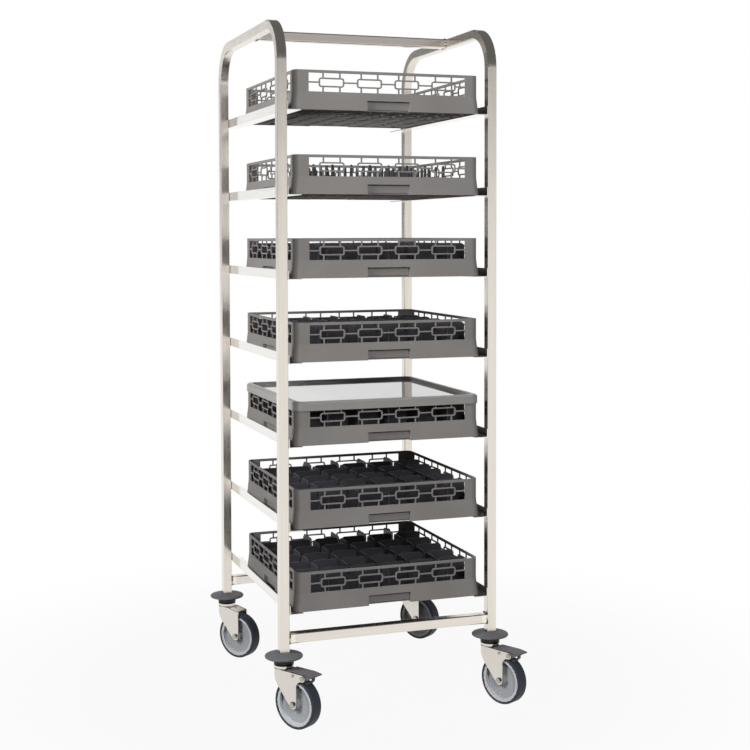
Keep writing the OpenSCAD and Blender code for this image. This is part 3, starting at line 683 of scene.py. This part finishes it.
class DOLLY_OT_tube_frame(DollyOperator, bpy.types.Operator):
    """Brush the bent side frames and the crossbars, and weld the crossbars in"""

    bl_idname = "dolly.tube_frame"
    bl_label = "Tube frame"

    def execute(self, context):
        steel = context.scene.dolly_steel
        hoop = self.hoop_steel(steel)
        for name in HOOPS:
            use_material(name, hoop)
        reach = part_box(CROSSBARS[0])[1].x - steel.cleaned_length
        bar = self.tube_steel("satin_tube_bar", steel, grain_along("X"),
                              mark_of=lambda tree: self.cleaned(tree, reach),
                              mark=shaded(steel.tube_colour, 1 + steel.cleaned_lift))
        weld = self.tube_steel("weld_bead", steel, grain_along("X"),
                               mark_of=self.tinted, mark=steel.weld_colour)
        for name in CROSSBARS:
            use_material(name, bar)
            self.weld_ends(name, weld, steel.bead_radius)
        return {"FINISHED"}

    def tube_steel(self, name, steel, path_of, **extras):
        return brushed(name, steel.tube_colour, steel.edge_radius, steel.tube_roughness, steel.streak,
                       path_of, **extras)

    def hoop_steel(self, steel):
        """Satin steel whose grain and normals follow the bends of a side frame."""
        low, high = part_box(HOOPS[0])
        tube = high.x - low.x
        bends = {"Half run": (high.y - low.y) / 2 - steel.bend_radius,
                 "Bend height": high.z - steel.bend_radius}
        middle_line = bends | {"Bend radius": steel.bend_radius - tube / 2}

        def path_of(tree):
            return place_group(tree, "Hoop path", middle_line)["Path"]

        def normal_of(tree, normal):
            return place_group(tree, "Hoop normal", bends | {"Normal": normal})["Normal"]

        return self.tube_steel("satin_tube_hoop", steel, path_of, normal_of=normal_of)

    def cleaned(self, tree, reach, ragged=0.004):
        """Ragged patch at each end of a crossbar, where the weld was cleaned."""
        place = object_place(tree)
        waver = ranged(tree, noise(tree, place, scale=120.0), *NOISE_SPAN, -ragged, ragged)
        out = math_node(tree, "ABSOLUTE", axes(tree, place)["X"])
        return ranged(tree, math_node(tree, "ADD", out, waver), reach, reach + ragged)

    def tinted(self, tree, span=(0.42, 0.55)):
        """Patches of heat tint along a weld, where a noise passes through a span."""
        return ranged(tree, noise(tree, object_place(tree), scale=70.0, detail=3.0), *span)

    def weld_ends(self, name, material, radius, showing=0.4):
        """A bead round each end of a crossbar, its middle a share of its radius clear of the hoop."""
        low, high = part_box(name)
        middle = middle_of(name)
        outline = resample(rounded_square((high.z - low.z) / 2, radius), radius)
        mesh = bmesh.new()
        for end, inward in ((low.x, 1), (high.x, -1)):
            foot = end + inward * radius * showing
            add_bead(mesh, [Vector((foot, middle.y + p.x, middle.z + p.y)) for p in outline], radius)
        finish_piece(f"{name}_welds", mesh, material, "frame")


class DOLLY_OT_runners(DollyOperator, bpy.types.Operator):
    """Give the runners their bright rolled sheet"""

    bl_idname = "dolly.runners"
    bl_label = "Runners"

    def execute(self, context):
        steel = context.scene.dolly_steel
        sheet = brushed("runner_sheet", steel.sheet_colour, steel.edge_radius, steel.sheet_roughness,
                        steel.streak, grain_along("Y"))
        for name in RUNNERS:
            use_material(name, sheet)
        return {"FINISHED"}


class DOLLY_OT_racks(DollyOperator, bpy.types.Operator):
    """Give the racks their grey moulded skin with painted shade along its edges, and the pegs a darker one
    as painted shade
    """

    bl_idname = "dolly.racks"
    bl_label = "Racks"

    def execute(self, context):
        plastic = context.scene.dolly_plastic
        # The edges of the racks take painted shade
        skin = moulded("rack_skin", plastic.rack_colour, plastic.edge_shade_colour, plastic.edge_radius,
                       plastic.rack_roughness, specular=plastic.rack_shine, wear_or_shade=plastic.rack_edge_shading)
        for tier in TIERS:
            use_material(f"rack_{tier}", skin)
        # The pegs take a darker tone as painted shade
        pegged = moulded_in_two("pegged_rack_skin", (plastic.rack_colour, plastic.peg_shade_colour),
                                plastic.edge_radius, (plastic.rack_roughness, plastic.peg_roughness),
                                lambda tree: self.pegs(tree, plastic), specular=plastic.rack_shine)
        use_material(PEG_RACK, pegged)
        return {"FINISHED"}

    def pegs(self, tree, plastic):
        """The inside of the rack above its floor, clear of the walls, where the pegs get painted shade."""
        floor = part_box(PEG_RACK)[0].z + plastic.peg_floor
        inside = within_outline(tree, PEG_RACK, plastic.peg_inset)
        return times(tree, inside, above(tree, floor))


class DOLLY_OT_dividers(DollyOperator, bpy.types.Operator):
    """Give the divider strips their charcoal skin"""

    bl_idname = "dolly.dividers"
    bl_label = "Dividers"

    def execute(self, context):
        plastic = context.scene.dolly_plastic
        skin = moulded("divider_skin", plastic.divider_colour, plastic.rack_colour, plastic.edge_radius,
                       plastic.divider_roughness)
        for tier in DIVIDED_TIERS:
            use_material(f"divider_insert_{tier}", skin)
        return {"FINISHED"}


class DOLLY_OT_lid(DollyOperator, bpy.types.Operator):
    """Give the lid a satin rim and a glossy panel"""

    bl_idname = "dolly.lid"
    bl_label = "Lid"

    def execute(self, context):
        plastic = context.scene.dolly_plastic
        skin = moulded_in_two("lid_skin", (plastic.lid_colour, plastic.panel_colour),
                              plastic.edge_radius, (plastic.rim_roughness, plastic.panel_roughness),
                              lambda tree: within_outline(tree, LID, plastic.rim_width),
                              lacquer=plastic.panel_lacquer)
        use_material(LID, skin)
        return {"FINISHED"}


class DOLLY_OT_castors(DollyOperator, bpy.types.Operator):
    """Finish forks, cups, bumpers, wheels, tyres, axles and pins"""

    bl_idname = "dolly.castors"
    bl_label = "Castors"

    def execute(self, context):
        steel = context.scene.dolly_steel
        castor = context.scene.dolly_castor
        edge_wear_or_shade = context.scene.dolly_plastic.rack_colour
        bumper_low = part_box("front_left_bumper")[0].z
        fastener = brushed("fastener_steel", steel.fastener_colour, castor.edge_radius,
                           steel.tube_roughness, steel.streak, grain_along("Z"))
        looks = {
            "bumper": self.bumper_skin(castor, bumper_low),
            "swivel_head": self.cup_steel(steel, castor, bumper_low),
            "fork": brushed("pressed_steel", steel.castor_colour, castor.edge_radius, steel.tube_roughness,
                            steel.pressed_streak, grain_along("Z")),
            "axle": fastener,
            "tyre": moulded("tyre_skin", castor.tyre_colour, edge_wear_or_shade, castor.edge_radius,
                            castor.tyre_roughness),
        }
        for name in CASTORS:
            for part, material in looks.items():
                use_material(f"{name}_{part}", material)
            use_material(f"{name}_wheel_centre", self.wheel_skin(f"{name}_wheel_centre", castor))
        for name in BRAKED:
            use_material(f"{name}_brake_pins", fastener)
        return {"FINISHED"}

    def bumper_skin(self, castor, low):
        """Grey disc over a dark neck."""
        return moulded_in_two("bumper_skin", (castor.neck_colour, castor.bumper_colour), castor.edge_radius,
                              (castor.neck_roughness, castor.bumper_roughness),
                              lambda tree: above(tree, low + castor.neck_height))

    def cup_steel(self, steel, castor, top):
        """Polished cup, with a dark band at its top and a painted shadow along its lower edge."""
        band_low = top - castor.cup_band_height
        # Painted shadow along the lower edge of the cup, in the neck's colour
        shadow_high = top - castor.cup_height + castor.cup_shadow_height

        def dark_bands(tree):
            below = math_node(tree, "SUBTRACT", 1.0, above(tree, shadow_high))
            return math_node(tree, "MAXIMUM", above(tree, band_low), below)

        return brushed("polished_cup", steel.castor_colour, castor.edge_radius, steel.cup_roughness,
                       steel.pressed_streak, grain_along("Z"), mark_of=dark_bands, mark=castor.neck_colour)

    def wheel_skin(self, name, castor):
        """Moulded wheel centre whose web inside its rim is darkened as painted shade."""
        low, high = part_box(name)
        web = (high.z - low.z) / 2 - castor.rim_width
        return moulded_in_two(f"{name}_skin", (castor.web_shade_colour, castor.rim_colour), castor.edge_radius,
                              (castor.web_roughness, castor.rim_roughness),
                              lambda tree: beyond(tree, middle_of(name), web))


class DOLLY_OT_pedals(DollyOperator, bpy.types.Operator):
    """Build the brake pedals with plate, cheeks, hook and shoe"""

    bl_idname = "dolly.pedals"
    bl_label = "Pedals"

    def execute(self, context):
        castor = context.scene.dolly_castor
        form = context.scene.dolly_pedal
        skin = moulded("pedal_skin", castor.pedal_colour, context.scene.dolly_plastic.rack_colour,
                       castor.edge_radius, castor.pedal_roughness)
        for name in BRAKED:
            swivel = middle_of(f"{name}_bumper")
            hub = middle_of(f"{name}_wheel_centre")
            trail = (hub - swivel).to_2d()
            mesh = self.shape(form, Vector((trail.length, hub.z)))
            turn = Matrix.Rotation(math.atan2(trail.y, trail.x), 4, "Z")
            mesh.transform(Matrix.Translation((swivel.x, swivel.y, 0.0)) @ turn)
            piece = finish_piece(f"{name}_brake_pedal_form", mesh, skin, f"{name}_brake",
                                 sharp=form.sharp)
            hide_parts(f"{name}_brake_pedal")
        return {"FINISHED"}

    def shape(self, form, axle):
        """The pedal at rest on its castor, with X along the trail."""
        plate, below, hole = bmesh.new(), bmesh.new(), bmesh.new()
        add_prism(plate, self.plate_side(form), -form.width / 2, form.width / 2)
        for side in (-1, 1):
            outer = side * form.cheek_width / 2
            add_prism(below, self.cheek_side(form), outer - side * form.sheet, outer)
        add_prism(below, self.hook_side(form, axle), -form.hook_width / 2, form.hook_width / 2)
        add_prism(below, self.shoe_side(form, axle), -form.shoe_width / 2, form.shoe_width / 2)
        circle = arc(self.pin(form), form.pin_hole, 0.0, 2 * math.pi, steps=24)
        add_prism(hole, circle[:-1], -form.width, form.width)
        return fused(plate, below, hole)

    def pin(self, form):
        return Vector((form.pin_reach, form.pin_height))

    def plate_side(self, form):
        """The plate runs level to its bend and dips to its tip."""
        low = form.top - form.sheet
        return [(form.back, low), (form.bend, low), (form.tip, low - form.dip),
                (form.tip, form.top - form.dip), (form.bend, form.top), (form.back, form.top)]

    def cheek_side(self, form):
        """A cheek runs from under the plate round the pin and up to the tip."""
        under = form.top - form.sheet / 2
        back = form.back + form.sheet / 2
        tip = Vector((form.tip - form.sheet / 2, under - form.dip - form.sheet / 2))
        reach = tip - self.pin(form)
        leave = math.atan2(reach.y, reach.x) - math.acos(form.cheek_radius / reach.length)
        round_pin = arc(self.pin(form), form.cheek_radius, math.pi, leave + 2 * math.pi, steps=16)
        return [(back, under), (back, form.top - form.sheet), *round_pin, tip, (form.bend, under)]

    def hook_side(self, form, axle):
        """The hook drops from the plate's tip and bends back to the shoe."""
        out, inner = form.hook_reach, form.hook_reach - form.hook_sheet
        top = form.top - (form.sheet + form.dip) / 2
        toe = Vector((out - form.hook_toe, form.hook_bend - form.hook_toe))
        shoe = self.shoe_radius(form, axle) + form.sheet / 2
        feet = [self.lifted(form, axle, angle, shoe) for angle in (form.shoe_start, form.shoe_lug)]
        # The heel lies half a sheet behind the toe and a sheet over it
        heel = toe + Vector((-form.hook_sheet / 2, form.hook_sheet))
        return [(out, top), (out, form.hook_bend), toe, *feet, heel,
                (inner, form.hook_bend + form.hook_sheet / 2), (inner, top)]

    def shoe_side(self, form, axle, steps=5):
        """The shoe is a strip of sheet round the tyre."""
        inner = self.shoe_radius(form, axle)
        span = form.shoe_end - form.shoe_start
        angles = [form.shoe_start + span * k / steps for k in range(steps + 1)]
        low = [self.lifted(form, axle, angle, inner) for angle in angles]
        high = [self.lifted(form, axle, angle, inner + form.sheet) for angle in reversed(angles)]
        return low + high

    def shoe_radius(self, form, axle):
        """Inner radius of the shoe: the wheel stands on the floor, so its radius is the axle's height."""
        return axle.y + form.shoe_gap

    def lifted(self, form, axle, angle, radius):
        """Place at rest of a point that lies in a direction from the axle when the pedal is pressed."""
        pressed = axle + radius * Vector((math.cos(angle), math.sin(angle)))
        return self.pin(form) + Matrix.Rotation(form.throw, 2) @ (pressed - self.pin(form))


# Place and width of each soft light
LAMPS = {
    "left_softbox": ((-2.6, -0.9, 2.1), 1.2),
    "key_light": ((-0.3, -4.4, 2.4), 1.2),
    "top_light": ((0.0, -0.3, 4.2), 2.0),
    "rear_light": ((1.4, 4.2, 1.8), 1.6),
}

# Spans of a direction's own X and Y over which the background changes
CAMERA_SIDE = (0.1, -0.5)  # Y, from clear of the camera's side to well into it
SCREEN_EDGE = (0.03, -0.03)  # across the left end of the white
BEHIND = (0.0, 0.2)  # Y, from beside the object to behind it


class DOLLY_OT_stage(DollyOperator, bpy.types.Operator):
    """Set the camera, floor, lamps and background"""

    bl_idname = "dolly.stage"
    bl_label = "Stage"

    def execute(self, context):
        studio = context.scene.dolly_studio
        context.scene.view_settings.view_transform = "Standard"
        self.set_camera(context, studio)
        self.lay_floor(context, studio)
        self.light_world(context, studio)
        for name, (place, width) in LAMPS.items():
            self.hang_lamp(context, name, Vector(place), width, getattr(studio, f"{name}_power"))
        return {"FINISHED"}

    def set_camera(self, context, studio):
        camera = bpy.data.cameras.new("camera")
        camera.sensor_width = studio.sensor
        camera.lens = studio.lens
        camera.shift_x = studio.shift_x
        camera.shift_y = studio.shift_y
        holder = bpy.data.objects.new("camera", camera)
        holder.matrix_world = (Matrix.Translation(studio.camera_place)
                               @ Matrix.Rotation(-studio.camera_turn, 4, "Z")
                               @ Matrix.Rotation(math.pi / 2 - studio.camera_dip, 4, "X")
                               @ Matrix.Rotation(studio.camera_roll, 4, "Z"))
        context.scene.collection.objects.link(holder)
        context.scene.camera = holder

    def seen_rays(self, tree):
        """One for rays that see the background: from the camera, or mirrored or refracted by the object."""
        path = add_node(tree, "ShaderNodeLightPath").outputs
        seen = math_node(tree, "MAXIMUM", path["Is Camera Ray"], path["Is Glossy Ray"])
        return math_node(tree, "MAXIMUM", seen, path["Is Transmission Ray"])

    def show_both(self, tree, share, lit, seen, output):
        """Sends two shaders to an output: lit, and seen by its share."""
        both = add_node(tree, "ShaderNodeMixShader", {0: share, 1: lit.outputs[0], 2: seen.outputs[0]})
        tree.links.new(both.outputs[0], tree.nodes[output].inputs["Surface"])

    def lay_floor(self, context, studio):
        half = studio.floor_half
        corners = [(-half, -half, 0.0), (half, -half, 0.0), (half, half, 0.0), (-half, half, 0.0)]
        data = bpy.data.meshes.new("floor")
        data.from_pydata(corners, [], [(0, 1, 2, 3)])
        data.materials.append(self.floor_paint(studio))
        floor = bpy.data.objects.new("floor", data)
        context.scene.collection.objects.link(floor)

    def floor_paint(self, studio):
        """Matt floor that takes the object's shadow, and is lifted to white where it is seen."""
        material, tree, matt = new_material("pale_floor")
        fill_inputs(tree, matt.inputs, {"Base Color": (*studio.floor_colour, 1.0), "Roughness": 0.9,
                                        "Specular IOR Level": 0.0})
        glow = add_node(tree, "ShaderNodeEmission", {"Color": WHITE, "Strength": 1.0})
        reach = vector_node(tree, "LENGTH", object_place(tree))
        lift = ranged(tree, reach, studio.floor_near, studio.floor_far, studio.floor_glow, 1.0, smooth=True)
        share = times(tree, self.seen_rays(tree), lift)
        self.show_both(tree, share, matt, glow, "Material Output")
        return material

    def light_world(self, context, studio):
        """Even light from all sides, and the background as it is seen: white, with dark parts."""
        world = bpy.data.worlds.new("studio")
        world.use_nodes = True
        tree = world.node_tree
        fill = tree.nodes["Background"]
        fill_inputs(tree, fill.inputs, {"Color": WHITE, "Strength": studio.fill_level})
        gloom = times(tree, self.dark_parts(tree, studio), 1.0 - studio.gloom_level)
        level = math_node(tree, "SUBTRACT", 1.0, gloom)
        seen = add_node(tree, "ShaderNodeBackground", {"Color": WHITE, "Strength": level})
        self.show_both(tree, self.seen_rays(tree), fill, seen, "World Output")
        context.scene.world = world

    def dark_parts(self, tree, studio):
        """One overhead, over the camera and left of the white behind the object."""
        way = axes(tree, add_node(tree, "ShaderNodeTexCoord").outputs["Generated"])
        at_camera = ranged(tree, way["Y"], *CAMERA_SIDE, smooth=True)
        raised = ranged(tree, way["Z"], 0.0, studio.gloom_rise, smooth=True)
        over_camera = times(tree, at_camera, raised)
        overhead = ranged(tree, way["Z"], studio.gloom_rise, studio.ceiling_rise, smooth=True)
        slope = times(tree, way["Y"], math.tan(studio.screen_left))
        past_screen = ranged(tree, math_node(tree, "ADD", way["X"], slope), *SCREEN_EDGE, smooth=True)
        beside_screen = times(tree, past_screen, ranged(tree, way["Y"], *BEHIND))
        dark = math_node(tree, "MAXIMUM", over_camera, overhead)
        return math_node(tree, "MAXIMUM", dark, beside_screen)

    def hang_lamp(self, context, name, place, width, power):
        """A square soft light aimed at the middle of the dolly, which the steel doesn't mirror."""
        data = bpy.data.lights.new(name, "AREA")
        data.size = width
        data.energy = power
        lamp = bpy.data.objects.new(name, data)
        lamp.location = place
        middle = (Vector(CAD_BOX[0]) + Vector(CAD_BOX[1])) / 2
        lamp.rotation_euler = (middle - place).to_track_quat("-Z", "Y").to_euler()
        lamp.visible_glossy = False
        context.scene.collection.objects.link(lamp)


class DOLLY_PT_sidebar(bpy.types.Panel):
    """Lists the steps of the dolly and the values that they use"""

    bl_idname = "DOLLY_PT_sidebar"
    bl_label = "Glass Rack Dolly"
    bl_space_type = "VIEW_3D"
    bl_region_type = "UI"
    bl_category = "Dolly"

    def draw(self, context):
        for step in STEPS:
            self.layout.operator(step.bl_idname)
        for group in VALUE_GROUPS:
            box = self.layout.box()
            values = getattr(context.scene, group)
            for name in values.__annotations__:
                box.prop(values, name)


STEPS = (DOLLY_OT_tube_frame, DOLLY_OT_runners, DOLLY_OT_racks, DOLLY_OT_dividers, DOLLY_OT_lid,
         DOLLY_OT_castors, DOLLY_OT_pedals, DOLLY_OT_stage)
VALUE_GROUPS = {"dolly_steel": SteelFinish, "dolly_plastic": PlasticFinish, "dolly_castor": CastorFinish,
                "dolly_pedal": PedalForm, "dolly_studio": StudioSetup}


def register():
    for kind in (*VALUE_GROUPS.values(), *STEPS, DOLLY_PT_sidebar):
        bpy.utils.register_class(kind)
    for name, kind in VALUE_GROUPS.items():
        setattr(bpy.types.Scene, name, PointerProperty(type=kind))


def unregister():
    for name in VALUE_GROUPS:
        delattr(bpy.types.Scene, name)
    for kind in reversed((*VALUE_GROUPS.values(), *STEPS, DOLLY_PT_sidebar)):
        bpy.utils.unregister_class(kind)


def main():
    register()
    bpy.ops.dolly.tube_frame()
    bpy.ops.dolly.runners()
    bpy.ops.dolly.racks()
    bpy.ops.dolly.dividers()
    bpy.ops.dolly.lid()
    bpy.ops.dolly.castors()
    bpy.ops.dolly.pedals()
    bpy.ops.dolly.stage()


if __name__ == "__main__":
    main()
